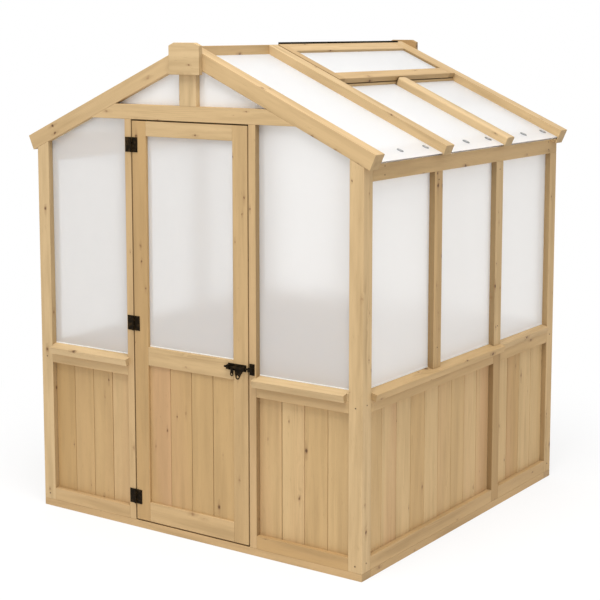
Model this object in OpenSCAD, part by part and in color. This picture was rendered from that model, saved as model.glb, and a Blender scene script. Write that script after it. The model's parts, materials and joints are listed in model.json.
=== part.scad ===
// Walk-in timber greenhouse with frosted twin-wall panes, a hinged door and a roof vent.
// X runs along the front wall, the front wall faces -Y, Z is up, millimetres.

/* [Plan] */
// Width over the corner posts
plan_w = 1950; // [1800:10:2100]
// Depth over the corner posts
plan_d = 1950; // [1750:10:2250]

/* [Heights] */
// Top of the lower wall rails, under the sills
wall_top = 821; // [760:1:880]
// Underside of the eave beams
eave_z = 1798; // [1650:1:1950]
// Height of an eave beam at its outer face
eave_h = 97; // [86:1:108]
// Rise from the underside of the eave beams to that of the tie beams
tie_rise = 231; // [205:1:255]
// Roof pitch in degrees
pitch = 24.25; // [22:0.25:27]

/* [Timber] */
// Side of the posts, and width of rafters, mullions and plates
stock = 74; // [66:1:80]
// Height of the base plates
plate_h = 36; // [28:1:44]
// Thickness of the rails in front of the wall boards
rail_t = 26; // [20:1:30]
// Thickness of the wall boards
board_t = 15; // [12:1:18]
// Nominal width of one wall board
board_w = 128; // [100:1:150]
// Height of the lower rails
low_rail_h = 64; // [50:1:84]
// Height of the rails under the sills
top_rail_h = 56; // [44:1:70]
// Depth of the mullions from their outer face
mullion_d = 45; // [42:1:55]

/* [Sills] */
// How far a sill stands out of the wall face
sill_nose = 30; // [20:1:40]
// How far the rear sills of the sides stand out
rear_nose = 12; // [10:1:30]
// How far the nose of a front sill laps over its jamb
sill_lap = 10; // [4:1:16]
// Thickness of a sill board
sill_t = 33; // [26:1:38]
// Fall of the sill's top in degrees
sill_fall = 14; // [8:1:18]

/* [Roof] */
// Depth of the end rafters, square to the slope
barge_h = 77; // [68:1:86]
// Depth of the middle rafters, square to the slope
rafter_h = 50; // [44:1:56]
// How far the rafter tops stand out past the posts
tail_out = 61; // [45:1:75]
// Thickness of the ridge board
ridge_t = 38; // [30:1:48]
// Height of the ridge board
ridge_h = 110; // [90:1:130]
// Height of a tie beam
tie_h = 72; // [62:1:84]
// Width of a king post
king_w = 100; // [82:1:112]
// Width of an apex block
apex_w = 182; // [152:1:202]
// Height of an apex block
apex_h = 149; // [132:1:162]
// Thickness of an apex block
apex_t = 26; // [18:1:32]

/* [Panes] */
// Thickness of the twin-wall sheets
pane_t = 8; // [6:1:10]
// How far the wall panes lie behind the wall face
pane_in = 30; // [26:1:33]

/* [Vent] */
// Distance down the slope from the ridge line to the vent's lower edge
vent_low = 426; // [380:1:470]
// Thickness of the vent frame
vent_t = 27; // [25:1:29]
// How far the vent stands above the rafters
vent_proud = 3; // [2:1:5]
// Width of the vent's stiles
vent_stile_w = 54; // [42:1:66]
// Width of the vent's rails
vent_rail_w = 69; // [52:1:82]
// Gap between the vent and the rafters beside it
vent_gap = 3; // [2:0.5:5]

/* [Door] */
// Clear width between the jambs
door_w = 704; // [660:4:760]
// Width of a jamb's face
jamb_w = 40; // [38:1:50]
// Thickness of the door
door_t = 45; // [38:1:48]
// Running gap round the door
door_gap = 7; // [7:0.5:9]
// Width of the door's stiles
stile_w = 85; // [74:1:98]
// Height of the door's top rail
door_top_h = 72; // [60:1:86]
// Height of the door's bottom rail
door_low_h = 98; // [80:1:120]
// Height of the door's middle rail
door_mid_h = 91; // [78:1:106]
// Rise from the top of the wall rails to the underside of the middle rail
door_mid_rise = 10; // [0:1:20]

/* [Hinges] */
// Height of a hinge
hinge_h = 72; // [60:1:90]
// Width of one hinge leaf from the pin
leaf_w = 38; // [32:1:40]
// Thickness of a hinge leaf
leaf_t = 3; // [2:0.5:3]
// Diameter of the hinge barrel
barrel_d = 10; // [9:0.5:10]
// Diameter of the hinge pin
pin_d = 5; // [4:0.5:6]

/* [Latch] */
// Diameter of the sliding bolt
bolt_d = 10; // [8:0.5:11]
// Travel of the bolt into its keeper
bolt_travel = 28; // [22:1:32]
// Length of the bolt's plate on the door
latch_w = 105; // [96:1:115]

/* [Hidden] */
$fn = 48;

// Plan: half sizes, and the faces of posts and mullions
half_w = plan_w / 2;
half_d = plan_d / 2;
post_x = half_w - stock;
post_y = half_d - stock;
bay = (2 * post_y - 2 * stock) / 3;
mullion_y = bay / 2;
jamb_x = door_w / 2;
jamb_out = jamb_x + jamb_w;

// Heights that follow from the driving ones
tie_z = eave_z + tie_rise;
tie_top = tie_z + tie_h;
ridge_z = eave_z + eave_h + rafter_h / cos(pitch) + half_w * tan(pitch);
sill_rise = sill_t / cos(sill_fall);
sill_seat = wall_top + sill_rise + pane_in * tan(sill_fall);
door_mid_z = wall_top + door_mid_rise;

// Lap inside one piece, overshoot of a cut, and clearance where one piece is cut to another
eps = 0.01;
cut = 1;
fit = 0.02;

// Roof: lengths along the slope and depths under the rafter tops
tail_u = (half_w + tail_out) / cos(pitch);
sheet_short = 5;
sheet_u = tail_u - sheet_short;
sheet_top = rafter_h - pane_t;
ridge_x = ridge_t / 2;
vent_under = vent_t - vent_proud;
vent_top_u = (ridge_x + vent_under * sin(pitch)) / cos(pitch);
header_w = 44;
header_drop = 4;
header_gap = 4;
header_low = vent_low + header_gap;
nose_r = 20;
vent_pane_in = 13;
strip_h = 12;
strip_out = 3;
strip_in = 55;
chamfer_w = 30;
chamfer_h = 14;
apex_rise = 8;

// Door: its own outline and the hinge axis
door_left = -jamb_x + door_gap;
door_right = jamb_x - door_gap;
door_bottom = plate_h + door_gap;
door_top = tie_z - door_gap;
door_back = -half_d + door_t;
door_pane_in = 16;
door_board_in = 10;
door_board_t = 12;
hinge_x = -jamb_x + door_gap / 2;
hinge_off = 1;
hinge_y = -half_d - barrel_d / 2 - hinge_off;
hinge_inset = 115;
hinge_zs = [door_bottom + hinge_inset, (door_bottom + door_top) / 2, door_top - hinge_inset];
pin_play = 0.4;
knuckle_play = 0.5;
leaf_play = 0.8;
leaf_y = -hinge_y - half_d - leaf_t;
leaf_x = barrel_d / 2 + leaf_play;
neck_lap = 1;

// Latch: the bolt's line, its guides, its handle and the eye under its plate
bolt_up = 62;
bolt_z = door_mid_z + bolt_up;
latch_h = 32;
plate_t = 3;
bolt_lift = 2;
bolt_y = -half_d - plate_t - bolt_lift - bolt_d / 2;
bolt_play = 0.5;
bore_d = bolt_d + 2 * bolt_play;
guide_w = 14;
guide_wall = 5;
guide_h = bolt_d + 2 * guide_wall;
guide_depth = plate_t + bolt_lift + bolt_d + guide_wall;
latch_edge = 9;
latch_right = door_right - latch_edge;
latch_left = latch_right - latch_w;
keeper_gap = 4;
keeper_left = jamb_x + keeper_gap;
keeper_w = bolt_travel;
keeper_h = 54;
tip_gap = 2;
bolt_tip = keeper_left - tip_gap;
tail_hold = 2;
bolt_tail = bolt_travel - guide_w + tail_hold;
bolt_back = latch_left - bolt_tail;
stem_w = 10;
stem_gap = 8;
handle_t = 4;
handle_x = latch_left + guide_w + stem_gap + stem_w / 2;
handle_drop = 34;
handle_r = 9;
handle_hole = 4.5;
eye_x = handle_x + bolt_travel;
eye_drop = 45;
eye_r = 12;
eye_hole = 7;
lug_left = 20;
lug_right = 41;

groove = 4;

timber = "burlywood";
timber_warm = "#c8a06a";
frost = [0.93, 0.93, 0.92, 0.85];
black = "#241e1a";

// Height of a plane that lies depth under the rafter tops, at x from the ridge
function roof_z(x, depth) = ridge_z - x * tan(pitch) - depth / cos(pitch);

// Distance from the ridge where the end rafters' underside comes down to z
function barge_x(z) = (roof_z(0, barge_h) - z) / tan(pitch);

// Point at u down the slope and depth under the rafter tops
function slope_pt(u, depth) = [
    u * cos(pitch) - depth * sin(pitch),
    ridge_z - u * sin(pitch) - depth * cos(pitch)
];

// Outline of a piece on the slope with a plumb upper cut at x and a square lower cut at u
function slope_piece(x, u, top, bottom) = [
    [x, roof_z(x, top)],
    slope_pt(u, top),
    slope_pt(u, bottom),
    [x, roof_z(x, bottom)]
];

// Outline of a piece on the slope with both ends cut square
function square_piece(u0, u1, top, bottom) = [
    slope_pt(u0, top),
    slope_pt(u1, top),
    slope_pt(u1, bottom),
    slope_pt(u0, bottom)
];

// Outline of a sill's seat on the wall: out from the wall face, and height
sill_seat_outline = [
    [-mullion_d, wall_top],
    [eps, wall_top],
    [eps, wall_top + sill_rise],
    [-pane_in, sill_seat],
    [-mullion_d, sill_seat]
];

// Outline of the sloped nose in front of the wall face
function nose_outline(nose) = [
    [0, wall_top],
    [nose - sill_t * sin(sill_fall), wall_top - (nose - sill_t * sin(sill_fall)) * tan(sill_fall)],
    [nose, wall_top + sill_rise - nose * tan(sill_fall)],
    [0, wall_top + sill_rise]
];

// Outline of a mullion whose foot is cut to the sill
function mullion_outline(top) = [
    [0, wall_top + sill_rise],
    [0, top],
    [-mullion_d, top],
    [-mullion_d, sill_seat],
    [-pane_in, sill_seat]
];

// A bar between two corners
module bar(low, high) {
    translate(low) cube(high - low);
}

// An outline in x and z, carried along Y
module along_y(outline, y0, y1) {
    translate([0, y1, 0]) rotate([90, 0, 0]) linear_extrude(y1 - y0) polygon(outline);
}

// An outline in y and z, carried along X
module along_x(outline, x0, x1) {
    translate([x0, 0, 0]) rotate([90, 0, 90]) linear_extrude(x1 - x0) polygon(outline);
}

module both_sides() {
    children();
    mirror([1, 0, 0]) children();
}

module both_ends() {
    children();
    mirror([0, 1, 0]) children();
}

// Boards side by side from the origin along X, with a V groove at each joint
module boards(length, thickness, z0, z1) {
    count = max(1, round(length / board_w));
    difference() {
        translate([0, 0, z0]) cube([length, thickness, z1 - z0]);
        for (i = [1:count - 1], y = [0, thickness])
            translate([i * length / count, y, z0 - cut])
                rotate([0, 0, 45])
                    translate([-groove / 2, -groove / 2, 0])
                        cube([groove, groove, z1 - z0 + 2 * cut]);
    }
}

module base_plates_ends() {
    color(timber) both_ends() bar([-half_w, -half_d, 0], [half_w, -post_y, plate_h]);
}

module base_plates_sides() {
    color(timber) both_sides() bar([post_x, -post_y, 0], [half_w, post_y, plate_h]);
}

// Front posts run up to the end rafters, rear posts carry the eave beams
module corner_posts() {
    front = [
        [post_x, plate_h],
        [half_w, plate_h],
        [half_w, roof_z(half_w, barge_h)],
        [post_x, roof_z(post_x, barge_h)]
    ];
    color(timber) both_sides() {
        along_y(front, -half_d, -post_y);
        bar([post_x, post_y, plate_h], [half_w, half_d, eave_z]);
    }
}

module door_jambs() {
    color(timber) both_sides() bar([jamb_x, -half_d, plate_h], [jamb_out, -post_y, tie_z]);
}

// Lower and upper rail of one boarded panel, in front of its boards
module rail_pair(low, high) {
    bar([low[0], low[1], plate_h], [high[0], high[1], plate_h + low_rail_h]);
    bar([low[0], low[1], wall_top - top_rail_h], [high[0], high[1], wall_top]);
}

module front_rails() {
    color(timber) both_sides() rail_pair([jamb_out, -half_d], [post_x, -half_d + rail_t]);
}

module front_boards() {
    color(timber_warm) both_sides()
        translate([jamb_out, -half_d + rail_t, 0])
            boards(post_x - jamb_out, board_t, plate_h, wall_top);
}

module rear_rails() {
    color(timber) rail_pair([-post_x, half_d - rail_t], [post_x, half_d]);
}

module rear_boards() {
    color(timber_warm) translate([-post_x, half_d - rail_t - board_t, 0])
        boards(2 * post_x, board_t, plate_h, wall_top);
}

module side_rails() {
    color(timber) both_sides() {
        rail_pair([half_w - rail_t, -post_y], [half_w, mullion_y]);
        rail_pair([half_w - rail_t, mullion_y + stock], [half_w, post_y]);
    }
}

// Stiles where the two lower panels of a side meet
module side_stiles() {
    color(timber) both_sides()
        bar([half_w - mullion_d, mullion_y, plate_h], [half_w, mullion_y + stock, wall_top]);
}

module side_boards() {
    color(timber_warm) both_sides() {
        translate([half_w - rail_t, -post_y, 0]) rotate([0, 0, 90])
            boards(post_y + mullion_y - fit, board_t, plate_h, wall_top);
        translate([half_w - rail_t, mullion_y + stock + fit, 0]) rotate([0, 0, 90])
            boards(bay - 2 * fit, board_t, plate_h, wall_top);
    }
}

// Sills beside the door, whose noses lap the jambs and stop short of the posts
module front_sills() {
    seat = [for (p = sill_seat_outline) [-half_d - p[0], p[1]]];
    nose = [for (p = nose_outline(sill_nose)) [-half_d - p[0], p[1]]];
    color(timber) both_sides() {
        along_x(seat, jamb_out, post_x);
        along_x(nose, jamb_out - sill_lap, post_x - sill_lap);
    }
}

module rear_sill() {
    seat = [for (p = sill_seat_outline) [half_d + p[0], p[1]]];
    nose = [for (p = nose_outline(sill_nose)) [half_d + p[0], p[1]]];
    color(timber) {
        along_x(seat, -post_x, post_x);
        along_x(nose, -post_x, post_x);
    }
}

module side_sill(y0, y1, out) {
    seat = [for (p = sill_seat_outline) [half_w + p[0], p[1]]];
    nose = [for (p = nose_outline(out)) [half_w + p[0], p[1]]];
    color(timber) both_sides() {
        along_y(seat, y0, y1);
        along_y(nose, y0, y1);
    }
}

module side_sills_front() {
    side_sill(-post_y, mullion_y + stock, sill_nose);
}

module side_sills_rear() {
    side_sill(mullion_y + stock, post_y, rear_nose);
}

module wall_mullions() {
    side = [for (p = mullion_outline(eave_z)) [half_w + p[0], p[1]]];
    rear = [for (p = mullion_outline(tie_z)) [half_d + p[0], p[1]]];
    color(timber) both_sides() {
        both_ends() along_y(side, mullion_y, mullion_y + stock);
        along_x(rear, jamb_x, jamb_out);
    }
}

// Beams over the door and across the rear wall, cut to the end rafters
module tie_beams() {
    outline = [
        [-barge_x(tie_z), tie_z],
        [barge_x(tie_z), tie_z],
        [barge_x(tie_top), tie_top],
        [-barge_x(tie_top), tie_top]
    ];
    color(timber) both_ends() along_y(outline, -half_d, -post_y);
}

module king_posts() {
    k = king_w / 2;
    outline = [
        [-k, tie_top],
        [k, tie_top],
        [k, roof_z(k, barge_h)],
        [0, roof_z(0, barge_h)],
        [-k, roof_z(k, barge_h)]
    ];
    color(timber) both_ends() along_y(outline, -half_d, -post_y);
}

// Blocks over the joint of the end rafters, with their top corners cut off
module apex_blocks() {
    a = apex_w / 2;
    top = ridge_z + apex_rise;
    outline = [
        [-a, top - apex_h],
        [a, top - apex_h],
        [a, top - chamfer_h],
        [a - chamfer_w, top],
        [chamfer_w - a, top],
        [-a, top - chamfer_h]
    ];
    color(timber_warm) both_ends() along_y(outline, -half_d - apex_t, -half_d);
}

// Beams on the mullions, bevelled to the roof, that pass over the rear posts
module eave_beams() {
    main = [
        [post_x, eave_z],
        [half_w, eave_z],
        [half_w, roof_z(half_w, rafter_h + fit)],
        [post_x, roof_z(post_x, rafter_h + fit)]
    ];
    tail = [
        [post_x, eave_z],
        [half_w, eave_z],
        [half_w, roof_z(half_w, barge_h)],
        [post_x, roof_z(post_x, barge_h)]
    ];
    color(timber) both_sides() {
        along_y(main, -post_y, post_y);
        along_y(tail, post_y - eps, half_d);
    }
}

module ridge_board() {
    top = roof_z(ridge_x, 0);
    color(timber) bar([-ridge_x, -post_y, top - ridge_h], [ridge_x, post_y, top]);
}

// End rafters that meet under the apex blocks
module barge_pair() {
    color(timber) both_ends() along_y(slope_piece(0, tail_u, 0, barge_h - fit), -half_d, -post_y);
}

module barge_rafters_left() {
    mirror([1, 0, 0]) barge_pair();
}

module barge_rafters_right() {
    barge_pair();
}

module middle_rafter(y) {
    along_y(slope_piece(ridge_x, tail_u, 0, rafter_h), y, y + stock);
}

// Rafter that starts at the vent's header, with the corners of its upper end rounded
module short_rafter(y) {
    translate([0, y, ridge_z]) rotate([0, pitch, 0]) translate([header_low, 0, -rafter_h]) {
        translate([nose_r, 0, 0]) cube([tail_u - header_low - nose_r, stock, rafter_h]);
        translate([0, nose_r, 0]) cube([nose_r, stock - 2 * nose_r, rafter_h]);
        for (corner_y = [nose_r, stock - nose_r])
            translate([nose_r, corner_y, 0]) cylinder(r = nose_r, h = rafter_h);
    }
}

module rafters_left() {
    color(timber) mirror([1, 0, 0]) {
        middle_rafter(-mullion_y - stock);
        middle_rafter(mullion_y);
    }
}

module rafters_right() {
    color(timber) {
        middle_rafter(-mullion_y - stock);
        short_rafter(mullion_y);
    }
}

// Window beside the door, cut to the tie beam and the end rafter
function window_outline() = [
    [jamb_out, sill_seat],
    [post_x, sill_seat],
    [post_x, roof_z(post_x, barge_h)],
    [barge_x(tie_z), tie_z],
    [jamb_out, tie_z]
];

module front_panes() {
    color(frost) both_sides()
        along_y(window_outline(), -half_d + pane_in, -half_d + pane_in + pane_t);
}

module gable_panes() {
    k = king_w / 2;
    outline = [[k, tie_top], [barge_x(tie_top), tie_top], [k, roof_z(k, barge_h)]];
    color(frost) both_sides() both_ends()
        along_y(outline, -half_d + pane_in, -half_d + pane_in + pane_t);
}

module side_panes() {
    color(frost) both_sides()
        for (i = [-1:1])
            translate([half_w - pane_in - pane_t, i * (bay + stock) - bay / 2, sill_seat])
                cube([pane_t, bay, eave_z - sill_seat]);
}

module rear_panes() {
    y1 = half_d - pane_in;
    color(frost) {
        both_sides() along_y(window_outline(), y1 - pane_t, y1);
        bar([-jamb_x, y1 - pane_t, sill_seat], [jamb_x, y1, tie_z]);
    }
}

module full_sheet(i) {
    y = i * (bay + stock) - bay / 2;
    along_y(slope_piece(ridge_x, sheet_u, sheet_top, rafter_h), y, y + bay);
}

module short_sheet(i) {
    y = i * (bay + stock) - bay / 2;
    along_y(square_piece(header_low, sheet_u, sheet_top, rafter_h), y, y + bay);
}

module roof_sheets_left() {
    color(frost) mirror([1, 0, 0])
        for (i = [-1:1])
            full_sheet(i);
}

// The right slope has its vent over the two rear bays
module roof_sheets_right() {
    color(frost) {
        full_sheet(-1);
        short_sheet(0);
        short_sheet(1);
    }
}

module vent_header() {
    outline = square_piece(header_low - header_w, header_low, vent_under + header_drop, rafter_h);
    color(timber) along_y(outline, -mullion_y, post_y);
}

module vent_stiles() {
    y0 = -mullion_y + vent_gap;
    y1 = post_y - vent_gap;
    outline = slope_piece(ridge_x, vent_low, -vent_proud, vent_under);
    color(timber) {
        along_y(outline, y0, y0 + vent_stile_w);
        along_y(outline, y1 - vent_stile_w, y1);
    }
}

module vent_rails() {
    y0 = -mullion_y + vent_gap + vent_stile_w;
    y1 = post_y - vent_gap - vent_stile_w;
    top_u = vent_top_u + vent_rail_w;
    color(timber) {
        along_y(slope_piece(ridge_x, top_u, -vent_proud, vent_under), y0, y1);
        along_y(square_piece(vent_low - vent_rail_w, vent_low, -vent_proud, vent_under), y0, y1);
    }
}

module vent_pane() {
    y0 = -mullion_y + vent_gap + vent_stile_w;
    y1 = post_y - vent_gap - vent_stile_w;
    top = vent_pane_in - vent_proud;
    color(frost)
        along_y(square_piece(vent_top_u + vent_rail_w, vent_low - vent_rail_w, top, top + pane_t), y0, y1);
}

// Black strip on the ridge along the vent's upper edge
module vent_strip() {
    top = roof_z(ridge_x, 0);
    color(black) bar(
        [-ridge_x + strip_out, -mullion_y + strip_in, top],
        [ridge_x, post_y, top + strip_h]
    );
}

// Barrel piece of a hinge with the neck that joins it to its leaf
module knuckle(z0, z1, side) {
    neck_w = leaf_x + neck_lap;
    translate([0, 0, z0]) cylinder(d = barrel_d, h = z1 - z0);
    translate([side > 0 ? 0 : -neck_w, leaf_y, z0]) cube([neck_w, leaf_t, z1 - z0]);
}

// Flat leaf of a hinge on the wall face, from the barrel outwards
module leaf(side) {
    translate([side > 0 ? leaf_x : -leaf_w, leaf_y, -hinge_h / 2]) cube([leaf_w - leaf_x, leaf_t, hinge_h]);
}

// Jamb leaves carry the pin and the outer barrel pieces
module hinge_leaves_jamb() {
    third = hinge_h / 6;
    color(black) for (z = hinge_zs) translate([hinge_x, hinge_y, z]) {
        leaf(-1);
        knuckle(-hinge_h / 2, -third - knuckle_play, -1);
        knuckle(third + knuckle_play, hinge_h / 2, -1);
        translate([0, 0, -hinge_h / 2]) cylinder(d = pin_d, h = hinge_h);
    }
}

// Door leaves carry the bored middle barrel piece
module hinge_leaves_door() {
    third = hinge_h / 6;
    color(black) for (z = hinge_zs) translate([hinge_x, hinge_y, z])
        difference() {
            union() {
                leaf(1);
                knuckle(-third, third, 1);
            }
            translate([0, 0, -third - cut]) cylinder(d = pin_d + pin_play, h = 2 * (third + cut));
        }
}

module door_stiles() {
    color(timber) {
        bar([door_left, -half_d, door_bottom], [door_left + stile_w, door_back, door_top]);
        bar([door_right - stile_w, -half_d, door_bottom], [door_right, door_back, door_top]);
    }
}

module door_rail(z0, z1) {
    bar([door_left + stile_w, -half_d, z0], [door_right - stile_w, door_back, z1]);
}

module door_rails() {
    color(timber) {
        door_rail(door_bottom, door_bottom + door_low_h);
        door_rail(door_mid_z, door_mid_z + door_mid_h);
        door_rail(door_top - door_top_h, door_top);
    }
}

module door_boards() {
    color(timber_warm) translate([door_left + stile_w, -half_d + door_board_in, 0])
        boards(door_right - door_left - 2 * stile_w, door_board_t, door_bottom + door_low_h, door_mid_z);
}

module door_pane() {
    y0 = -half_d + door_pane_in;
    color(frost) bar(
        [door_left + stile_w, y0, door_mid_z + door_mid_h],
        [door_right - stile_w, y0 + pane_t, door_top - door_top_h]
    );
}

// Ring under a lug that starts at the bolt's line, left and right of x, with its back on y
module hung_ring(x, y, drop, left, right, radius, hole, thick) {
    lug = [[-left, drop], [right, drop], [radius, 0], [-radius, 0]];
    translate([x, y, bolt_z - drop]) rotate([90, 0, 0])
        difference() {
            union() {
                cylinder(r = radius, h = thick);
                linear_extrude(thick) polygon(lug);
            }
            translate([0, 0, -cut]) cylinder(r = hole, h = thick + 2 * cut);
        }
}

// Block that guides the bolt, bored right through
module guide(x0, width) {
    difference() {
        translate([x0, -half_d - guide_depth, bolt_z - guide_h / 2]) cube([width, guide_depth, guide_h]);
        translate([x0 - cut, bolt_y, bolt_z]) rotate([0, 90, 0]) cylinder(d = bore_d, h = width + 2 * cut);
    }
}

// Plate with two guides for the bolt and the fixed eye that the handle comes to
module latch_plate() {
    color(black) {
        bar(
            [latch_left, -half_d - plate_t, bolt_z - latch_h / 2],
            [latch_right, -half_d, bolt_z + latch_h / 2]
        );
        guide(latch_left, guide_w);
        guide(latch_right - guide_w, guide_w);
        hung_ring(eye_x, -half_d, eye_drop, lug_left, lug_right, eye_r, eye_hole, plate_t);
    }
}

// Sliding bolt with its ring handle, drawn back clear of the keeper
module latch_bolt() {
    color(black) {
        translate([bolt_back, bolt_y, bolt_z]) rotate([0, 90, 0])
            cylinder(d = bolt_d, h = bolt_tip - bolt_back);
        hung_ring(
            handle_x, bolt_y + handle_t / 2, handle_drop, stem_w / 2, stem_w / 2,
            handle_r, handle_hole, handle_t
        );
    }
}

// Keeper on the jamb: a plate with a bored block as wide as the bolt's travel
module latch_keeper() {
    color(black) {
        for (z0 = [-keeper_h / 2, guide_h / 2])
            translate([keeper_left, -half_d - plate_t, bolt_z + z0])
                cube([keeper_w, plate_t, (keeper_h - guide_h) / 2]);
        guide(keeper_left, keeper_w);
    }
}

base_plates_ends();
base_plates_sides();
corner_posts();
door_jambs();
front_rails();
front_boards();
rear_rails();
rear_boards();
side_rails();
side_stiles();
side_boards();
front_sills();
side_sills_front();
side_sills_rear();
rear_sill();
wall_mullions();
tie_beams();
king_posts();
apex_blocks();
eave_beams();
ridge_board();
barge_rafters_left();
barge_rafters_right();
rafters_left();
rafters_right();
front_panes();
gable_panes();
side_panes();
rear_panes();
roof_sheets_left();
roof_sheets_right();
vent_header();
vent_stiles();
vent_rails();
vent_pane();
vent_strip();
hinge_leaves_jamb();
latch_keeper();
door_stiles();
door_rails();
door_boards();
door_pane();
hinge_leaves_door();
latch_plate();
latch_bolt();
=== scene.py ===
"""Looks of a timber greenhouse: eased fir, tongued boards, frosted sheets, black fittings and fixings."""
import json
import math
import random

import bmesh
import bpy
from mathutils import Matrix, Vector

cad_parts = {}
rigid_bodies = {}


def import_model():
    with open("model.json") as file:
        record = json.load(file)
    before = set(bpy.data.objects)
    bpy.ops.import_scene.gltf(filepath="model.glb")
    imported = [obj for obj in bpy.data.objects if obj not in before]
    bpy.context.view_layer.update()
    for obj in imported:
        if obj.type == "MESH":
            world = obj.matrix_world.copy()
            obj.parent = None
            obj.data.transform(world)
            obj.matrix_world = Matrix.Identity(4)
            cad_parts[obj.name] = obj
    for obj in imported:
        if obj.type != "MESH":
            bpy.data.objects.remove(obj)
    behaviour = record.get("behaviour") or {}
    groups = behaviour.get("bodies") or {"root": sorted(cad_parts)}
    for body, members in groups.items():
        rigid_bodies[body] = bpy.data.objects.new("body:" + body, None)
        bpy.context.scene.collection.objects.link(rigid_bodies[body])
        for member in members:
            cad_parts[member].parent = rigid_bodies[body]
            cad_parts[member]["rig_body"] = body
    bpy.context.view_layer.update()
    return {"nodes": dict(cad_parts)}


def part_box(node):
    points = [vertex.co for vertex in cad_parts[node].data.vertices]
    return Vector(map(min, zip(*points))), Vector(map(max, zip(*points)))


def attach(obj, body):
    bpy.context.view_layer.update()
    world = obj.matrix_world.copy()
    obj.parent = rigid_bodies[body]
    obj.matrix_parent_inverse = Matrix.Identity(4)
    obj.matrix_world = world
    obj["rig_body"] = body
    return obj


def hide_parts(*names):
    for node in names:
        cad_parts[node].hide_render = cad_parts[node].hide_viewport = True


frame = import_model()

# Nodes by what they are made of
TIMBER = [
    "base_plates_ends", "base_plates_sides", "corner_posts", "door_jambs",
    "front_rails", "rear_rails", "side_rails", "side_stiles",
    "front_sills", "side_sills_front", "side_sills_rear", "rear_sill",
    "wall_mullions", "tie_beams", "king_posts", "apex_blocks", "eave_beams", "ridge_board",
    "barge_rafters_left", "barge_rafters_right", "rafters_left", "rafters_right",
    "vent_header", "vent_stiles", "vent_rails", "door_stiles", "door_rails",
]
BOARDS = ["front_boards", "rear_boards", "side_boards", "door_boards"]
END_SHEETS = ["front_panes", "rear_panes", "door_pane"]
WALL_SHEETS = ["front_panes", "gable_panes", "side_panes", "rear_panes", "door_pane"]
ROOF_SHEETS = ["roof_sheets_left", "roof_sheets_right", "vent_pane"]
FITTINGS = ["hinge_leaves_jamb", "hinge_leaves_door", "latch_keeper", "latch_plate", "latch_bolt"]

# Tone (0 pale, 1 warm, 2 dark), share of rose and, where given, a slide of the grain that moves the knots,
# for solids in order from left to right, front to rear, low to high
TONES = {
    "corner_posts": [(0.05, 0.0, 0.6), (0.4, 0.1), (0.2, 0.0, 0.45), (0.5, 0.1)],
    "door_stiles": [(1.05, 0.2), (0.6, 0.05)],
    "side_stiles": [(1.0, 0.3), (1.35, 0.3)],
    "front_rails": [(0.5, 0.2), (0.4, 0.1), (1.0, 0.2), (0.5, 0.2)],
    "base_plates_sides": [(0.65, 0.1)] * 2,
    "side_rails": [(0.65, 0.1)] * 8,
    "front_sills": [(0.0, 0.0, 0.3), (0.0, 0.0)],
    "king_posts": [(0.0, 0.0, 0.35), (0.4, 0.1)],
    "apex_blocks": [(0.0, 0.0, 0.35), (1.6, 0.3)],
    "tie_beams": [(0.3, 0.0, -0.45), (0.5, 0.1)],
    "door_rails": [(0.45, 0.1, 0.6), (0.3, 0.05), (0.25, 0.0, 0.1)],
    "eave_beams": [(0.5, 0.1), (0.6, 0.1)],
    "barge_rafters_right": [(0.38, 0.0), (0.3, 0.0)],
    "rafters_right": [(0.2, 0.0, 0.5), (0.0, 0.0)],
}
# A dark tone for the door stop beads: painted shade in the gap round the door
STOP_TONES = [(1.8, 0.2)] * 3
BOARD_SPREAD = 1.8

# Members whose sides, along the wall that they stand in, get painted shade, as sides of the recesses and
# gaps round panels, panes and the door
RECESS_SHADED_MEMBERS = ["door_jambs", "wall_mullions", "side_stiles"]

# Shade of darker faces, from 0 to 1: end grain is darker, the others are painted shade in recesses, gaps and
# joints
END_SHADE = 0.35
RECESS_SHADE = 0.6
POST_SHADE = 0.45
VENT_SIDE_SHADE = 0.7
VENT_TOP_SHADE = 0.95
TONGUE_SHADE = 0.95

# Linear colours: pale, warm and rosy fir, the three parts of a knot, and the rest
FRAME_FIR = ((0.625, 0.448, 0.24, 1), (0.51, 0.325, 0.14, 1), (0.53, 0.335, 0.168, 1))
BOARD_FIR = ((0.6, 0.415, 0.205, 1), (0.495, 0.312, 0.13, 1), (0.535, 0.325, 0.16, 1))
KNOT_TAIL = (0.27, 0.15, 0.065, 1)
KNOT_RIM = (0.25, 0.125, 0.05, 1)
KNOT_CORE = (0.085, 0.04, 0.016, 1)
COAT = (0.009, 0.0055, 0.002, 1)
RUBBED_COAT = (0.04, 0.023, 0.008, 1)
RUBBER = (0.01, 0.007, 0.004, 1)
DUSTY_RUBBER = (0.026, 0.02, 0.012, 1)
# Whites of the sheets' outer skins, set apart for the ends, sides and roof as painted light on sheets of one
# stuff
END_WHITE = (0.995, 0.983, 0.97, 1)
SIDE_WHITE = (0.997, 0.98, 0.96, 1)
ROOF_WHITE = (0.985, 0.985, 0.982, 1)
WASHER_GREY = (0.15, 0.15, 0.15, 1)
COVER_GREY = (0.4, 0.4, 0.4, 1)
TRIM_WHITE = (0.86, 0.86, 0.84, 1)
FLOOR_GREY = (0.9, 0.9, 0.9, 1)
WHITE = (1, 1, 1, 1)

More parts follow.
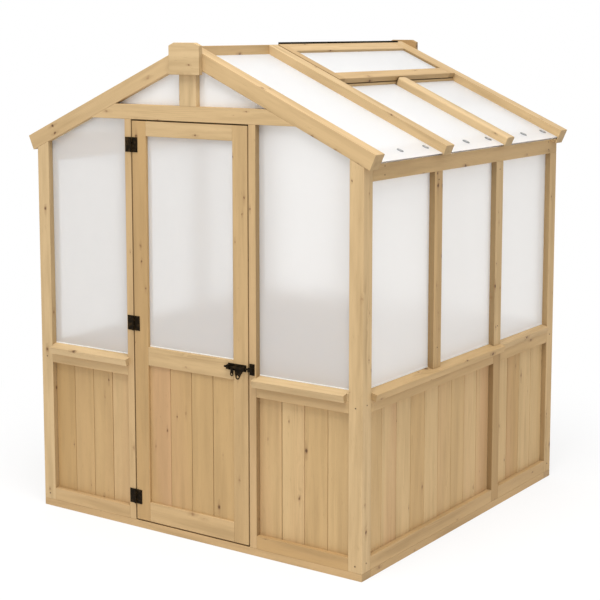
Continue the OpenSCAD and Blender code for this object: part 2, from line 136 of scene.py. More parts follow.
# Sizes in metres
MERGE = 0.00002
TIMBER_EASE = 0.002
FITTING_EASE = 0.0006
ROUND_OVER = 0.009
RING_WIDTH = 0.0052
BOARD_WIDTH = 0.128
BOARD_GAPS = (0.0015, 0.0036)
BOARD_CHAMFER = 0.0025
TONGUE_REACH = 0.006
TONGUE_THICK = 0.005
FLUTE_PITCH = 0.0105
FLUTE_RELIEF = 0.00012
TRIM_HEIGHT = 0.006
TRIM_PROUD = 0.0015
TRIM_EASE = 0.0008
STOP_WIDTH = 0.014
STOP_DEPTH = 0.02
STOP_GAP = 0.006
STOP_EASE = 0.0015
NOTCH_PITCH = 0.067
NOTCH_DEPTH = 0.004
CAP_INSET = 0.073
CAP_SPREAD = 0.23
FRAME_SCREW_RADIUS = 0.0036
LEAF_SCREW_RADIUS = 0.0034
KEEPER_SCREW_RADIUS = 0.0028
POST_SCREW_INSETS = (0.03, 0.028)
POST_SIDE_SCREW_RISE = 0.012
MULLION_SCREW_INSETS = (0.1, 0.04)
EAVE_SCREW_INSET = 0.1
EAVE_SCREW_HEIGHTS = (0.022, 0.062)
LEAF_LEAST_WIDTH = 0.015
KEEPER_PLATE = 0.003
KEEPER_SCREW_RISE = 0.0195
FLOOR_SIZE = 40
FLOOR_FADE = (1.5, 3.2)
LAMP_SIZE = 6.0
LAMP_REACH = 9.0

# Counts and strengths
LEAF_SCREWS = 3
CUTS_PER_NOTCH = 8
FLOOR_LIFT = 0.72
SURROUND_LIGHT = 0.72
LAMP_LIGHT = 0.78
SEED = 24

# Directions and places
UP = Vector((0, 0, 1))
RIGHT = Vector((1, 0, 0))
OUT_OF_DOOR = Vector((0, -1, 0))
LAMP_WAY = Vector((0.25, -0.45, 0.95)).normalized()
LAMP_AIM = Vector((0, 0, 1.0))


class Wire:
    """A shader socket that takes part in Python sums."""

    def __init__(self, tree, socket=None):
        self.tree = tree
        self.socket = socket

    def node(self, kind, settings=None, sockets=None, out=0):
        """Adds a node: its settings first, then the values or links of its sockets."""
        made = self.tree.nodes.new(kind)
        for name, value in (settings or {}).items():
            setattr(made, name, value)
        for name, value in (sockets or {}).items():
            if isinstance(value, Wire):
                self.tree.links.new(value.socket, made.inputs[name])
            else:
                made.inputs[name].default_value = value
        return Wire(self.tree, made.outputs[out])

    def other(self, out):
        """Another output of the node that this socket belongs to."""
        return Wire(self.tree, self.socket.node.outputs[out])

    def math(self, operation, *values):
        return self.node("ShaderNodeMath", {"operation": operation}, dict(enumerate(values)))

    def vector(self, operation, *values):
        return self.node("ShaderNodeVectorMath", {"operation": operation}, dict(enumerate(values)))

    def __add__(self, other):
        return self.math("ADD", self, other)

    def __sub__(self, other):
        return self.math("SUBTRACT", self, other)

    def __rsub__(self, other):
        return self.math("SUBTRACT", other, self)

    def __mul__(self, other):
        return self.math("MULTIPLY", self, other)

    def __truediv__(self, other):
        return self.math("DIVIDE", self, other)

    def __pow__(self, other):
        return self.math("POWER", self, other)

    __radd__ = __add__
    __rmul__ = __mul__

    def fade(self, low, high):
        """0 below low, 1 above high, smooth between."""
        sockets = {"Value": self, "From Min": low, "From Max": high}
        return self.node("ShaderNodeMapRange", {"interpolation_type": "SMOOTHSTEP"}, sockets)

    def stretched(self, scale):
        return self.node("ShaderNodeMapping", None, {"Vector": self, "Scale": scale})

    def noise(self, scale, detail=2.0):
        sockets = {"Vector": self.stretched(scale), "Scale": 1.0, "Detail": detail}
        return self.node("ShaderNodeTexNoise", None, sockets)

    def even_noise(self, scale, detail=2.0):
        return self.noise((scale, scale, scale), detail)

    def tint(self, amount, from_colour, to_colour):
        sockets = {0: amount, 6: from_colour, 7: to_colour}
        return self.node("ShaderNodeMix", {"data_type": "RGBA"}, sockets, 2)

    def parts(self):
        """The three numbers of a vector."""
        x = self.node("ShaderNodeSeparateXYZ", None, {0: self})
        return x, x.other(1), x.other(2)

    def attribute(self, name):
        """A vector that is written on the mesh."""
        return self.node("ShaderNodeAttribute", {"attribute_name": name}, None, "Vector")

    def place(self):
        """The place on the object, in metres."""
        return self.node("ShaderNodeTexCoord", None, None, "Object")


def new_finish(name):
    """A material with a Principled shader, and a wire to build its nodes from."""
    material = bpy.data.materials.new(name)
    material.use_nodes = True
    tree = material.node_tree
    return material, Wire(tree), tree.nodes["Principled BSDF"]


def plug(wire, shader, name):
    wire.tree.links.new(wire.socket, shader.inputs[name])


def bump(height, strength, distance):
    sockets = {"Strength": strength, "Distance": distance, "Height": height}
    return height.node("ShaderNodeBump", None, sockets)


def scaled(colour, factor):
    """A colour made lighter or darker, and opaque."""
    return [factor * c for c in colour[:3]] + [1]


def fir(name, knots, rare, figure, pale, warm, rosy):
    """Planed fir: broken year rings and streaks along the member, knots with tails, a tone per piece.

    Knots is the number of cells for knots in a metre, rare the share of them left empty,
    and figure how strongly rings and streaks show.
    """
    material, wire, shader = new_finish(name)
    grain = wire.attribute("grain")
    tone, shade, blush = wire.attribute("piece").parts()
    across, deep = grain.parts()[1:]
    dark = scaled(warm, 0.62)

    # Uneven knots in some cells of a stretched field, with a tail along the fibres
    push = grain.noise((55.0, 90.0, 90.0)).other("Color")
    field = push.vector("MULTIPLY_ADD", push, (0.014, 0.009, 0.009), grain).stretched((knots, 18.0, 18.0))
    cells = wire.node("ShaderNodeTexVoronoi", None, {"Vector": field, "Scale": 1.0}, "Distance")
    chance = cells.other("Color").parts()[0] - rare
    reach = chance.math("MAXIMUM", chance, 0.0) ** 1.4 * 0.3 + 0.002
    nearness = cells / reach
    offset = field.vector("SUBTRACT", field, cells.other("Position"))
    slim = offset.vector("MULTIPLY", offset, (0.3, 1.0, 1.0))
    tail = 1 - (slim.vector("LENGTH", slim).other("Value") / reach).fade(0.5, 1.8)
    core = 1 - nearness.fade(0.45, 1.0)
    rim = 1 - nearness.fade(0.8, 1.5)
    bend = (1 - nearness.fade(0.0, 4.0)) * 0.006

    # Year rings about the pith, which bend round the knots and fade in and out
    wander = grain.noise((1.3, 9.0, 9.0), 3.0)
    radius = (across * across + deep * deep) ** 0.5 + wander * 0.035 + bend
    ring = (radius / RING_WIDTH).math("FRACT", radius / RING_WIDTH)
    clear = grain.noise((2.2, 16.0, 16.0), 2.0).fade(0.4, 0.68)
    late = (ring.fade(0.3, 0.88) - ring.fade(0.92, 1.0)) * clear

    # Streaks, bands and fibres
    streak = grain.noise((2.1, 26.0, 26.0), 3.0)
    band = grain.noise((0.7, 13.0, 13.0), 2.0)
    broad = grain.noise((0.5, 9.0, 9.0), 2.0)
    fleck = grain.noise((24.0, 230.0, 230.0), 2.0).fade(0.64, 0.76)
    fibre = grain.noise((14.0, 520.0, 520.0), 2.0)

    colour = wire.tint(tone - 1, wire.tint(tone, pale, warm), dark)
    colour = wire.tint(blush * broad.fade(0.3, 0.7), colour, rosy)
    colour = wire.tint(streak.fade(0.4, 0.78) * (0.33 * figure), colour, dark)
    colour = wire.tint(band.fade(0.45, 0.7) * (0.2 * figure), colour, dark)
    colour = wire.tint(late * (0.27 * figure), colour, dark)
    colour = wire.tint(fleck * 0.3, colour, dark)
    colour = wire.tint(fibre.fade(0.45, 0.8) * 0.14, colour, dark)
    # Darker end grain, and painted shade on faces in recesses, gaps and joints
    colour = wire.tint(shade, colour, scaled(warm, 0.42))
    colour = wire.tint(tail * 0.35, colour, KNOT_TAIL)
    colour = wire.tint(rim * 0.5, colour, KNOT_RIM)
    colour = wire.tint(core * 0.85, colour, KNOT_CORE)
    plug(colour, shader, "Base Color")
    plug(0.5 + streak * 0.2 + late * 0.06, shader, "Roughness")
    relief = late * 0.5 + fibre * 0.6 + streak * 0.5 - core * 0.6
    plug(bump(relief, 0.35, 0.0006), shader, "Normal")
    shader.inputs["Specular IOR Level"].default_value = 0.3
    return material


def sheet_skin(name, clear, haze, white):
    """One skin of a twin-wall sheet, with flutes.

    Clear is what it lets through, and haze how far it blurs that.
    """
    material, wire, shader = new_finish(name)
    grain = wire.attribute("grain")
    phase = grain.parts()[1] * (2 * math.pi / FLUTE_PITCH)
    flute = phase.math("SINE", phase) * 0.5 + 0.5
    cloud = grain.noise((2.0, 3.0, 3.0), 2.0)
    plug(wire.tint(flute * 0.5 + cloud * 0.5, white, scaled(white, 0.988)), shader, "Base Color")
    plug(haze + flute * 0.12 + cloud * 0.1, shader, "Roughness")
    plug(bump(flute * 0.9 + cloud * 0.1, 1.0, FLUTE_RELIEF), shader, "Normal")
    shader.inputs["Transmission Weight"].default_value = clear
    shader.inputs["IOR"].default_value = 1.25
    return material


def powder_coat():
    """Black powder coat on steel: fine orange peel and a little rubbed tone."""
    material, wire, shader = new_finish("black_powder_coat")
    place = wire.place()
    peel = place.even_noise(900.0)
    rub = place.even_noise(60.0, 3.0)
    plug(wire.tint(rub.fade(0.45, 0.75), COAT, RUBBED_COAT), shader, "Base Color")
    plug(0.5 + rub * 0.2, shader, "Roughness")
    plug(bump(peel, 0.3, 0.0002), shader, "Normal")
    shader.inputs["Specular IOR Level"].default_value = 0.06
    return material


def black_rubber():
    """Weather strip: dull black with a dusty bloom."""
    material, wire, shader = new_finish("black_weather_strip")
    place = wire.place()
    bloom = place.noise((35.0, 14.0, 35.0), 3.0)
    pores = place.even_noise(700.0)
    plug(wire.tint(bloom.fade(0.4, 0.75), RUBBER, DUSTY_RUBBER), shader, "Base Color")
    plug(0.7 + bloom * 0.2, shader, "Roughness")
    plug(bump(pores, 0.4, 0.0003), shader, "Normal")
    shader.inputs["Specular IOR Level"].default_value = 0.08
    return material


def moulded_plastic(name, colour):
    """Plain moulded plastic with a faint cloud and a fine grained skin."""
    material, wire, shader = new_finish(name)
    place = wire.place()
    cloud = place.even_noise(70.0, 3.0)
    skin = place.even_noise(1400.0)
    plug(wire.tint(cloud.fade(0.35, 0.75), colour, scaled(colour, 0.86)), shader, "Base Color")
    plug(0.35 + cloud * 0.2, shader, "Roughness")
    plug(bump(skin, 0.25, 0.0002), shader, "Normal")
    return material


def islands(bm):
    """Faces of a bmesh in groups that hang together."""
    groups, left = [], set(bm.faces)
    while left:
        start = min(left, key=lambda face: face.index)
        left.discard(start)
        group, front = [], [start]
        while front:
            face = front.pop()
            group.append(face)
            for edge in face.edges:
                for near in edge.link_faces:
                    if near in left:
                        left.discard(near)
                        front.append(near)
        groups.append(group)
    return groups


def node_copy(node):
    """A merged copy of a node's solids, with whole faces instead of triangles."""
    bm = bmesh.new()
    bm.from_mesh(frame["nodes"][node].data)
    bmesh.ops.remove_doubles(bm, verts=bm.verts[:], dist=MERGE)
    bmesh.ops.dissolve_limit(bm, angle_limit=math.radians(0.5), verts=bm.verts[:], edges=bm.edges[:])
    bm.faces.index_update()
    return bm


def bevel(bm, edges, width, segments, clamp=True):
    bmesh.ops.bevel(
        bm, geom=edges, offset=width, offset_type="OFFSET", segments=segments, profile=0.5,
        affect="EDGES", material=-1, clamp_overlap=clamp
    )


def ease(bm, width, segments=2):
    """Rounds the convex edges of a solid."""
    sharp = [e for e in bm.edges if e.is_manifold and e.is_convex and e.calc_face_angle() > math.radians(20)]
    bevel(bm, sharp, width, segments)
    bm.faces.index_update()


def corners(faces):
    """Lowest and highest corner of a group of faces."""
    places = [v.co for f in faces for v in f.verts]
    return [Vector(pick(p[i] for p in places) for i in range(3)) for pick in (min, max)]


def in_order(groups):
    """Solids from left to right, then from front to rear, then from low to high."""
    return sorted(groups, key=lambda faces: [round(c, 1) for c in sum(corners(faces), Vector()) / 2])


def once_each(things):
    """The things without repeats, in the order in which they come."""
    return list(dict.fromkeys(things))


def largest(faces):
    return max(faces, key=lambda face: face.calc_area())


def top_face(faces):
    """The largest face of a solid that looks up."""
    return largest(f for f in faces if f.normal.z > 0.5)


def member_axes(faces, along=None):
    """Corners of a member, its middle, and the directions of its length, width and depth.

    The length points up, or else to the rear or the right.
    """
    verts = once_each(v for f in faces for v in f.verts)
    middle = sum((v.co for v in verts), Vector()) / len(verts)
    if along is None:
        longest = max((e for f in faces for e in f.edges), key=lambda e: round(e.calc_length(), 4))
        along = (longest.verts[1].co - longest.verts[0].co).normalized()
        along = max(along, -along, key=lambda way: [round(way[axis], 3) for axis in (2, 1, 0)])
    across = along.cross(RIGHT if abs(along.z) > 0.9 else UP).normalized()
    return verts, middle, along, across, along.cross(across)


def side_shade(node, normal, middle):
    """How dark a face is: painted shade on sides in recesses along the wall, on inward sides of posts, and
    on sides of the vent's gaps.
    """
    # Painted shade on the header's top and the stiles' sides, in the gaps round the vent
    if node == "vent_header":
        return VENT_TOP_SHADE if normal.z > 0.5 else 0.0
    if node == "vent_stiles":
        return VENT_SIDE_SHADE if abs(normal.y) > 0.7 else 0.0
    # Painted shade on the sides of corner posts that face into the recesses
    if node == "corner_posts":
        return POST_SHADE if min(normal.x * middle.x, normal.y * middle.y) < -0.6 else 0.0
    # Painted shade on sides along the wall, which face into recesses and gaps
    along_wall = normal.y if abs(middle.x) > abs(middle.y) else normal.x
    return RECESS_SHADE if node in RECESS_SHADED_MEMBERS and abs(along_wall) > 0.7 else 0.0


def write_grain(bm, draw, along=None, spread=1.0, tones=(), node=""):
    """Gives each solid its own grain: places along and across it, a tone, and the shade of darker faces:
    darker end grain and painted shade in recesses and gaps.
    """
    grain = bm.verts.layers.float_vector.new("grain")
    piece = bm.faces.layers.float_vector.new("piece")
    for number, faces in enumerate(in_order(islands(bm))):
        verts, middle, length, width, depth = member_axes(faces, along)
        start, aside = draw.uniform(0, 9), draw.uniform(-0.05, 0.05)
        below = draw.choice((-1, 1)) * draw.uniform(0.04, 0.12)
        tone = min(1.0, max(0.0, draw.gauss(0.45, 0.28 * spread)))
        blush = max(0.0, draw.gauss(0.1, 0.35 * spread))
        if number < len(tones):
            tone, blush, *slide = tones[number]
            start += sum(slide)
        pith = Vector((start, aside, below))
        for vert in verts:
            step = vert.co - middle
            vert[grain] = Vector((step.dot(length), step.dot(width), step.dot(depth))) + pith
        for face in faces:
            end_shade = END_SHADE if abs(face.normal.dot(length)) > 0.7 else 0.0
            face[piece] = Vector((tone, max(end_shade, side_shade(node, face.normal, middle)), blush))


def write_flutes(bm, along):
    """Gives each sheet the directions of its flutes."""
    grain = bm.verts.layers.float_vector.new("grain")
    for faces in islands(bm):
        verts, middle, length, width, depth = member_axes(faces, along)
        for vert in verts:
            step = vert.co - middle
            vert[grain] = Vector((step.dot(length), step.dot(width), step.dot(depth)))


def finish_piece(bm, name, material, node, stands_for=True, smooth=False):
    """Makes the object of a finished bmesh and hangs it on the body of a node."""
    mesh = bpy.data.meshes.new(name)
    bm.to_mesh(mesh)
    bm.free()
    mesh.materials.append(material)
    if smooth:
        mesh.polygons.foreach_set("use_smooth", [True] * len(mesh.polygons))
        mesh.set_sharp_from_angle(angle=math.radians(35))
    piece = bpy.data.objects.new(name, mesh)
    bpy.context.scene.collection.objects.link(piece)
    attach(piece, frame["nodes"][node]["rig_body"])
    if stands_for:
        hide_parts(node)
    return piece


def add_block(bm, low, high, chamfer=0.0):
    """A block between two corners. With a chamfer, its upright edges are rounded."""
    made = bmesh.ops.create_cube(bm, size=1.0)["verts"]
    size = high - low
    bmesh.ops.scale(bm, vec=size, verts=made)
    bmesh.ops.translate(bm, vec=(low + high) / 2, verts=made)
    if chamfer:
        edges = once_each(e for v in made for e in v.link_edges)
        upright = [e for e in edges if abs(e.verts[0].co.z - e.verts[1].co.z) > 0.5 * size.z]
        bevel(bm, upright, chamfer, 2, False)


def round_over(bm, faces):
    """Rounds the top edges of a sloping member, but for the one at its lower end."""
    top = top_face(faces)
    lowest = min(v.co.z for v in top.verts)
    bevel(bm, [e for e in top.edges if max(v.co.z for v in e.verts) > lowest + 0.01], ROUND_OVER, 5)


def timber_members(material, draw):
    """The frame's and the door's members with eased edges. The short rafter is rounded more."""
    for node in TIMBER:
        bm = node_copy(node)
        if node == "rafters_right":
            round_over(bm, max(islands(bm), key=lambda faces: corners(faces)[0].y))
        ease(bm, TIMBER_EASE)
        write_grain(bm, draw, tones=TONES.get(node, ()), node=node)
        finish_piece(bm, node + "_fir", material, node)


def door_stops(material, draw):
    """Beads behind the closed door on the jambs and under the tie beam, which darken the gap round it and
    are toned dark as painted shade there.
    """
    jambs = node_copy("door_jambs")
    side = min(abs(c.x) for faces in islands(jambs) for c in corners(faces))
    jambs.free()
    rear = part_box("door_jambs")[1].y
    front = max(rear - STOP_DEPTH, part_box("door_stiles")[1].y + STOP_GAP)
    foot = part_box("base_plates_ends")[1].z
    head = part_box("tie_beams")[0].z
    inner = side - STOP_WIDTH
    bm = bmesh.new()
    add_block(bm, Vector((-side, front, foot)), Vector((-inner, rear, head)))
    add_block(bm, Vector((inner, front, foot)), Vector((side, rear, head)))
    add_block(bm, Vector((-inner, front, head - STOP_WIDTH)), Vector((inner, rear, head)))
    ease(bm, STOP_EASE)
    write_grain(bm, draw, tones=STOP_TONES)
    finish_piece(bm, "door_stop_beads", material, "door_jambs", stands_for=False)


def add_boards(bm, low, high, draw):
    """Boards side by side between two corners of a panel, with a tongue behind each joint."""
    wide = 0 if high.x - low.x > high.y - low.y else 1
    thick = 1 - wide
    middle = (low[thick] + high[thick]) / 2
    count = round((high[wide] - low[wide]) / BOARD_WIDTH)
    step = (high[wide] - low[wide]) / count
    gaps = [0.0] + [draw.uniform(*BOARD_GAPS) for _ in range(count - 1)] + [0.0]
    for i in range(count):
        start, end = low[wide] + i * step, low[wide] + (i + 1) * step
        left, right = low.copy(), high.copy()
        left[wide], right[wide] = start + gaps[i] / 2, end - gaps[i + 1] / 2
        add_block(bm, left, right, BOARD_CHAMFER)
        if i < count - 1:
            left[wide], right[wide] = end - TONGUE_REACH, end + TONGUE_REACH
            left[thick], right[thick] = middle - TONGUE_THICK / 2, middle + TONGUE_THICK / 2
            add_block(bm, left, right)


def shade_tongues(bm):
    """Paints the tongues, the only solids here with six faces, dark as painted shade in the joints, so that
    the joints show as lines.
    """
    piece = bm.faces.layers.float_vector["piece"]
    for faces in islands(bm):
        if len(faces) == 6:
            for face in faces:
                face[piece] = Vector((1.0, TONGUE_SHADE, 0.0))


def wall_boards(material, draw):
    for node in BOARDS:
        panels = node_copy(node)
        bm = bmesh.new()
        for faces in in_order(islands(panels)):
            add_boards(bm, *corners(faces), draw)
        panels.free()
        bm.faces.index_update()
        write_grain(bm, draw, UP, BOARD_SPREAD)
        shade_tongues(bm)
        finish_piece(bm, node + "_fir", material, node)


def roof_fall(node):
    """Direction down the slope of a roof sheet."""
    low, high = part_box(node)
    side = 1 if low.x + high.x > 0 else -1
    return Vector((side * (high.x - low.x), 0, low.z - high.z)).normalized()


def outward(faces, on_wall):
    """Direction in which a sheet looks out of the building."""
    if not on_wall:
        return UP
    low, high = corners(faces)
    thin = min(range(3), key=lambda axis: high[axis] - low[axis])
    way = Vector()
    way[thin] = math.copysign(1, low[thin] + high[thin])
    return way


def sheets():
    """Each sheet has a milky skin outside and a clear one inside and round its edges."""
    # The side, gable and roof sheets get milkier outer skins than the end sheets, which makes them look
    # brighter: painted light, as all the sheets are of one stuff
    end_skin = sheet_skin("milky_end_skin", 0.5, 0.14, END_WHITE)
    side_skin = sheet_skin("milky_side_skin", 0.28, 0.24, SIDE_WHITE)
    roof_skin = sheet_skin("milky_roof_skin", 0.44, 0.26, ROOF_WHITE)
    inner_skin = sheet_skin("clear_inner_skin", 1.0, 0.1, END_WHITE)
    for node in WALL_SHEETS + ROOF_SHEETS:
        bm = node_copy(node)
        on_wall = node in WALL_SHEETS
        outer_skin = roof_skin
        if on_wall:
            outer_skin = end_skin if node in END_SHEETS else side_skin
        write_flutes(bm, UP if on_wall else roof_fall(node))
        for faces in islands(bm):
            way = outward(faces, on_wall)
            for face in faces:
                face.material_index = 0 if face.normal.dot(way) > 0.5 else 1
        piece = finish_piece(bm, node + "_sheet", outer_skin, node)
        piece.data.materials.append(inner_skin)


def fittings(material):
    for node in FITTINGS:
        bm = node_copy(node)
        ease(bm, FITTING_EASE)
        finish_piece(bm, node + "_black", material, node, smooth=True)


def ridge_strip(material):
    """The strip along the ridge, notched along its free edge."""
    bm = node_copy("vent_strip")
    ease(bm, FITTING_EASE, 1)
    low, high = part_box("vent_strip")
    cuts = round((high.y - low.y) / NOTCH_PITCH * CUTS_PER_NOTCH)
    for i in range(1, cuts):
        place = Vector((0, low.y + (high.y - low.y) * i / cuts, 0))
        whole = bm.verts[:] + bm.edges[:] + bm.faces[:]
        bmesh.ops.bisect_plane(bm, geom=whole, dist=MERGE, plane_co=place, plane_no=(0, 1, 0))
    for vert in bm.verts:
        if vert.co.x > (low.x + high.x) / 2:
            wave = 0.5 + 0.5 * math.cos(2 * math.pi * (vert.co.y - low.y) / NOTCH_PITCH)
            vert.co.x -= NOTCH_DEPTH * wave ** 3
    bm.normal_update()
    finish_piece(bm, "vent_strip_black", material, "vent_strip")


def turned(profile, steps):
    """A closed mesh spun from pairs of radius and height that start and end on the axis."""
    bm = bmesh.new()
    line = [bm.verts.new((radius, 0, height)) for radius, height in profile]
    edges = [bm.edges.new(pair) for pair in zip(line, line[1:])]
    bmesh.ops.spin(
        bm, geom=line + edges, cent=(0, 0, 0), axis=(0, 0, 1), angle=2 * math.pi, steps=steps, use_merge=True
    )
    bmesh.ops.remove_doubles(bm, verts=bm.verts[:], dist=MERGE)
    bmesh.ops.recalc_face_normals(bm, faces=bm.faces[:])
    mesh = bpy.data.meshes.new("turned_shape")
    bm.to_mesh(mesh)
    bm.free()
    return mesh


def all_over(shape, places):
    """A bmesh with a turned shape at each place, its axis along the normal given there."""
    bm = bmesh.new()
    for place, normal in places:
        start = len(bm.verts)
        bm.from_mesh(shape)
        bm.verts.ensure_lookup_table()
        lay = Matrix.Translation(place) @ normal.to_track_quat("Z", "Y").to_matrix().to_4x4()
        bmesh.ops.transform(bm, matrix=lay, verts=bm.verts[start:])
    bpy.data.meshes.remove(shape)
    return bm


def screw_heads(radius, places, name, material, node):
    """Countersunk heads with a round drive recess."""
    head = turned([
        (0, -0.0004), (radius * 0.32, -0.0004), (radius * 0.42, 0.0004), (radius * 0.9, 0.0005),
        (radius, 0.0001), (radius * 0.8, -0.0015), (0, -0.0015)
    ], 12)
    finish_piece(all_over(head, places), name, material, node, stands_for=False)


def frame_screws(material):
    """Heads on the posts, mullions and eave beams."""
    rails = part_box("front_rails")
    rail_z = [rails[0].z + POST_SCREW_INSETS[0], rails[1].z - POST_SCREW_INSETS[1]]
    places = []
    for node in ("corner_posts", "wall_mullions", "eave_beams"):
        bm = node_copy(node)
        for faces in islands(bm):
            low, high = corners(faces)
            mid = (low + high) / 2
            out_x = Vector((1 if mid.x > 0 else -1, 0, 0))
            out_y = Vector((0, 1 if mid.y > 0 else -1, 0))
            face_x = high.x if mid.x > 0 else low.x
            face_y = high.y if mid.y > 0 else low.y
            if node == "corner_posts":
                for z in rail_z:
                    places.append((Vector((mid.x, face_y, z)), out_y))
                    places.append((Vector((face_x, mid.y, z + POST_SIDE_SCREW_RISE)), out_x))
            elif node == "wall_mullions":
                on_side = abs(mid.x) > abs(mid.y)
                for z in (low.z + MULLION_SCREW_INSETS[0], high.z - MULLION_SCREW_INSETS[1]):
                    spot = Vector((face_x, mid.y, z)) if on_side else Vector((mid.x, face_y, z))
                    places.append((spot, out_x if on_side else out_y))
            else:
                for y in (low.y + EAVE_SCREW_INSET, high.y - EAVE_SCREW_INSET):
                    places += [(Vector((face_x, y, low.z + rise)), out_x) for rise in EAVE_SCREW_HEIGHTS]
        bm.free()
    screw_heads(FRAME_SCREW_RADIUS, places, "frame_screw_heads", material, "corner_posts")


def fitting_screws(material):
    """Heads on the hinge leaves and on the keeper."""
    for node in ("hinge_leaves_jamb", "hinge_leaves_door"):
        bm = node_copy(node)
        places = []
        for faces in islands(bm):
            flat = [f for f in faces if f.normal.y < -0.9]
            if not flat:
                continue
            low, high = corners([largest(flat)])
            if high.x - low.x < LEAF_LEAST_WIDTH:
                continue
            for i in range(LEAF_SCREWS):
                z = low.z + (high.z - low.z) * (i + 0.5) / LEAF_SCREWS
                places.append((Vector(((low.x + high.x) / 2, low.y, z)), OUT_OF_DOOR))
        bm.free()
        screw_heads(LEAF_SCREW_RADIUS, places, node + "_screws", material, node)
    low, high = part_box("latch_keeper")
    mid = (low + high) / 2
    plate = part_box("door_stiles")[0].y - KEEPER_PLATE
    rises = (-KEEPER_SCREW_RISE, KEEPER_SCREW_RISE)
    places = [(Vector((mid.x, plate, mid.z + rise)), OUT_OF_DOOR) for rise in rises]
    screw_heads(KEEPER_SCREW_RADIUS, places, "latch_keeper_screws", material, "latch_keeper")


def roof_caps(grey, pale):
    """Round cap washers with pale covers along the lower edge of each roof sheet."""
    places = []
    for node in ("roof_sheets_left", "roof_sheets_right"):
        bm = node_copy(node)
        fall = roof_fall(node)
        for faces in islands(bm):
            top = top_face(faces)
            edge = max(v.co.dot(fall) for v in top.verts)
            middle = top.calc_center_bounds()
            for dy in (-CAP_SPREAD, 0, CAP_SPREAD):
                spot = middle + fall * (edge - CAP_INSET - middle.dot(fall)) + Vector((0, dy, 0))
                places.append((spot, top.normal.copy()))
        bm.free()
    washer = turned([
        (0, 0.003), (0.0105, 0.003), (0.0115, 0.0036), (0.017, 0.003),
        (0.0196, 0.0016), (0.02, -0.0002), (0, -0.0002)
    ], 24)
    cover = turned([(0, 0.0056), (0.006, 0.0053), (0.009, 0.0042), (0.0095, 0.0028), (0, 0.0028)], 20)
    for shape, name, material in ((washer, "roof_cap_washers", grey), (cover, "roof_cap_covers", pale)):
        finish_piece(
            all_over(shape, places), name, material, "roof_sheets_right",
            stands_for=False, smooth=True
        )


def sheet_trims(material):
    """A pale edge trim along the foot of each wall sheet."""
    for node in ("front_panes", "side_panes", "rear_panes", "door_pane"):
        panes = node_copy(node)
        bm = bmesh.new()
        for faces in islands(panes):
            low, high = corners(faces)
            thick = 1 if high.x - low.x > high.y - low.y else 0
            high.z = low.z + TRIM_HEIGHT
            low[thick] -= TRIM_PROUD
            high[thick] += TRIM_PROUD
            add_block(bm, low, high)
        panes.free()
        ease(bm, TRIM_EASE)
        finish_piece(bm, node + "_trim", material, node, stands_for=False)


def seen_directly(wire):
    """1 for rays that show the surround itself: straight, mirrored or through a sheet."""
    path = wire.node("ShaderNodeLightPath", None, None, "Is Camera Ray")
    seen = path.math("MAXIMUM", path, path.other("Is Glossy Ray"))
    return seen.math("MAXIMUM", seen, path.other("Is Transmission Ray"))


def pale_floor():
    """A pale floor that fades to white away from the building."""
    bm = bmesh.new()
    bmesh.ops.create_grid(bm, x_segments=1, y_segments=1, size=FLOOR_SIZE)
    mesh = bpy.data.meshes.new("studio_floor")
    bm.to_mesh(mesh)
    bm.free()
    floor = bpy.data.objects.new("studio_floor", mesh)
    bpy.context.scene.collection.objects.link(floor)
    material, wire, shader = new_finish("pale_floor")
    shader.inputs["Base Color"].default_value = FLOOR_GREY
    shader.inputs["Roughness"].default_value = 0.9
    place = wire.place()
    reach = place.vector("LENGTH", place).other("Value")
    bright = wire.node("ShaderNodeEmission", None, {"Color": WHITE, "Strength": 1.0})
    lifted = seen_directly(wire) * (FLOOR_LIFT + (1 - FLOOR_LIFT) * reach.fade(*FLOOR_FADE))
    lit = Wire(wire.tree, shader.outputs[0])
    shown = wire.node("ShaderNodeMixShader", None, {0: lifted, 1: lit, 2: bright})
    plug(shown, wire.tree.nodes["Material Output"], "Surface")
    mesh.materials.append(material)


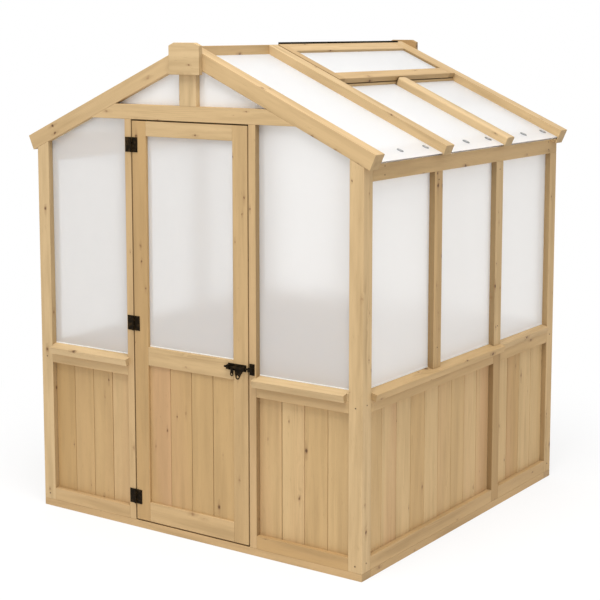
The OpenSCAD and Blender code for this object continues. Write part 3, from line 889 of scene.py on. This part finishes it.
def white_surround():
    """A surround that lights softly and looks white."""
    world = bpy.data.worlds.new("white_surround")
    bpy.context.scene.world = world
    world.use_nodes = True
    tree = world.node_tree
    wire = Wire(tree)
    soft = wire.node("ShaderNodeBackground", None, {"Color": WHITE, "Strength": SURROUND_LIGHT})
    white = wire.node("ShaderNodeBackground", None, {"Color": WHITE, "Strength": 1.0})
    both = wire.node("ShaderNodeMixShader", None, {0: seen_directly(wire), 1: soft, 2: white})
    plug(both, tree.nodes["World Output"], "Surface")


def key_lamp():
    """One large soft lamp over the front."""
    lamp = bpy.data.lights.new("soft_key", "AREA")
    lamp.shape = "DISK"
    lamp.size = LAMP_SIZE
    lamp.energy = LAMP_LIGHT * math.pi ** 2 * LAMP_REACH ** 2
    key = bpy.data.objects.new("soft_key", lamp)
    key.location = LAMP_AIM + LAMP_WAY * LAMP_REACH
    key.rotation_euler = LAMP_WAY.to_track_quat("Z", "Y").to_euler()
    bpy.context.scene.collection.objects.link(key)


def camera():
    """Camera at the photograph's place. Its frame lies a little below its axis."""
    lens = bpy.data.cameras.new("photo_camera")
    lens.sensor_width = 36.0
    lens.lens = 88.98
    lens.shift_y = -0.14
    lens.clip_end = 200
    eye = bpy.data.objects.new("photo_camera", lens)
    eye.location = (4.375, -6.384, 2.465)
    eye.rotation_euler = (math.radians(90 - 7.233), 0, math.radians(34.633))
    bpy.context.scene.collection.objects.link(eye)
    bpy.context.scene.camera = eye


draw = random.Random(SEED)
camera()
pale_floor()
white_surround()
key_lamp()
planed_fir = fir("planed_fir", 15.0, 0.3, 1.3, *FRAME_FIR)
timber_members(planed_fir, draw)
door_stops(planed_fir, draw)
wall_boards(fir("board_fir", 11.0, 0.41, 0.9, *BOARD_FIR), draw)
sheets()
black = powder_coat()
fittings(black)
frame_screws(black)
fitting_screws(black)
ridge_strip(black_rubber())
roof_caps(moulded_plastic("grey_plastic", WASHER_GREY), moulded_plastic("light_plastic", COVER_GREY))
sheet_trims(moulded_plastic("white_plastic", TRIM_WHITE))

bpy.context.scene.view_settings.view_transform = "Standard"
